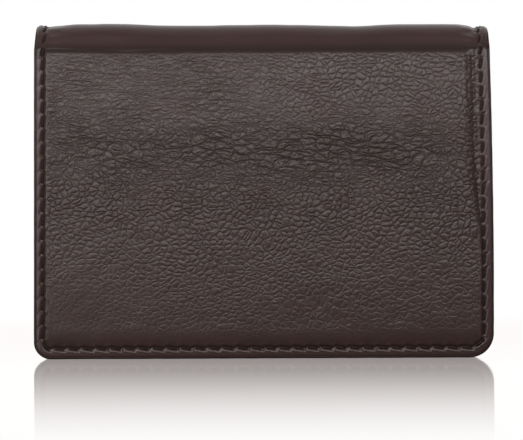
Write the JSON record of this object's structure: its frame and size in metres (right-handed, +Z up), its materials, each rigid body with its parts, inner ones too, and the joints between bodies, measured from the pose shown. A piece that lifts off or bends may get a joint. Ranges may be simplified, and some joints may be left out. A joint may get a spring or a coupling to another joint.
{
  "type": "business card case",
  "caption": "Folding leather card case with a rounded padded spine, stitched rim and painted edges; opens flat to stepped card slots and a gusseted card pocket.",
  "frame": {"origin": "middle of the base, under the closed case standing on its free edges with the fold on top", "axes": "+X along the width, +Y from the front cover to the back, +Z up from the free edges to the fold"},
  "size_m": [0.104, 0.015, 0.076],
  "materials": {
    "outer_leather": "dark brown pebbled grain, semi-matte",
    "inner_leather": "dark brown smooth fine grain, semi-matte",
    "edge_paint": "very dark red-brown sealing paint, satin",
    "thread": "waxed dark brown thread",
    "lining": "brown twill lining",
    "board": "grey-brown fibre board",
    "padding": "thin off-white felt padding"
  },
  "bodies": {
    "root": {"back_leather": "outer_leather", "back_padding": "padding", "back_board": "board", "back_lining": "lining", "back_edge_paint": "edge_paint", "back_stitching": "thread", "pocket_gusset": "inner_leather"},
    "spine_rear": {"spine_leather_rear": "outer_leather", "spine_padding_rear": "padding", "spine_lining_rear": "lining", "spine_edge_paint_rear": "edge_paint", "spine_stitching_rear": "thread"},
    "spine_top": {"spine_leather_top": "outer_leather", "spine_padding_top": "padding", "spine_lining_top": "lining", "spine_edge_paint_top": "edge_paint", "spine_stitching_top": "thread"},
    "spine_front": {"spine_leather_front": "outer_leather", "spine_padding_front": "padding", "spine_lining_front": "lining", "spine_edge_paint_front": "edge_paint", "spine_stitching_front": "thread"},
    "cover": {"front_leather": "outer_leather", "front_padding": "padding", "front_board": "board", "front_lining": "lining", "front_edge_paint": "edge_paint", "front_stitching": "thread", "slip_pocket_panel": "inner_leather", "upper_slot_panel": "inner_leather", "lower_slot_panel": "inner_leather", "upper_slot_cloth": "lining", "lower_slot_cloth": "lining", "slot_stitching": "thread"},
    "pocket": {"pocket_panel": "inner_leather", "pocket_lining": "lining", "pocket_edge_paint": "edge_paint", "pocket_stitching": "thread"}
  },
  "joints": [
    {"name": "rear_crease", "type": "hinge", "parent": "root", "child": "spine_rear", "pos_m": [0, 0.0068, 0.07], "axis": [-1, 0, 0], "range_deg": [0, 30]},
    {"name": "rear_shoulder", "type": "hinge", "parent": "spine_rear", "child": "spine_top", "pos_m": [0, 0.00414, 0.076], "axis": [-1, 0, 0], "range_deg": [0, 60]},
    {"name": "front_shoulder", "type": "hinge", "parent": "spine_top", "child": "spine_front", "pos_m": [0, -0.00414, 0.076], "axis": [-1, 0, 0], "range_deg": [0, 60]},
    {"name": "front_crease", "type": "hinge", "parent": "spine_front", "child": "cover", "pos_m": [0, -0.0068, 0.07], "axis": [-1, 0, 0], "range_deg": [0, 30]},
    {"name": "pocket_spread", "type": "hinge", "parent": "root", "child": "pocket", "pos_m": [0, -0.0007, 0.0016], "axis": [1, 0, 0], "range_deg": [0, 5]}
  ],
  "couplings": [
    {"joint": "rear_crease", "follows": "rear_shoulder", "ratio": 0.5},
    {"joint": "front_shoulder", "follows": "rear_shoulder", "ratio": 1},
    {"joint": "front_crease", "follows": "rear_shoulder", "ratio": 0.5},
    {"joint": "pocket_spread", "follows": "rear_shoulder", "ratio": 0.083333}
  ]
}
